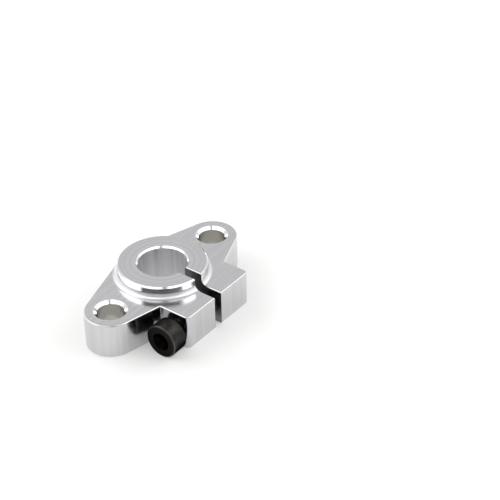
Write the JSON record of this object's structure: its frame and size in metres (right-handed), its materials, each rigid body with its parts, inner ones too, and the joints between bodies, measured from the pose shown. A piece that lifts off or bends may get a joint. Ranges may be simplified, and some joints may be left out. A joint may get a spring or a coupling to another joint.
{
  "type": "shaft support block",
  "caption": "Flanged shaft support: a slit clamp bore in a raised boss, two mounting ears, and clamping lugs drawn together by a socket head cap screw.",
  "frame": {"origin": "where the shaft axis meets the back mounting face, midway between the two mounting holes", "axes": "+Z along the shaft axis, from the mounting face towards the boss; +X along the line of the mounting holes; the clamping lugs point towards -Y and the screw head is on the -X side"},
  "size_m": [0.0426, 0.0245, 0.01],
  "materials": {
    "machined_aluminium": "fine machined, bright, edges broken",
    "black_oxide_steel": "black oxide, oiled, satin"
  },
  "bodies": {
    "block": {"support_body": "machined_aluminium"},
    "screw": {"clamp_screw": "black_oxide_steel"}
  },
  "joints": [
    {"name": "clamp_screw_turn", "type": "hinge", "parent": "block", "child": "screw", "pos_m": [0, -0.011, 0.0036], "axis": [1, 0, 0], "continuous": true}
  ]
}
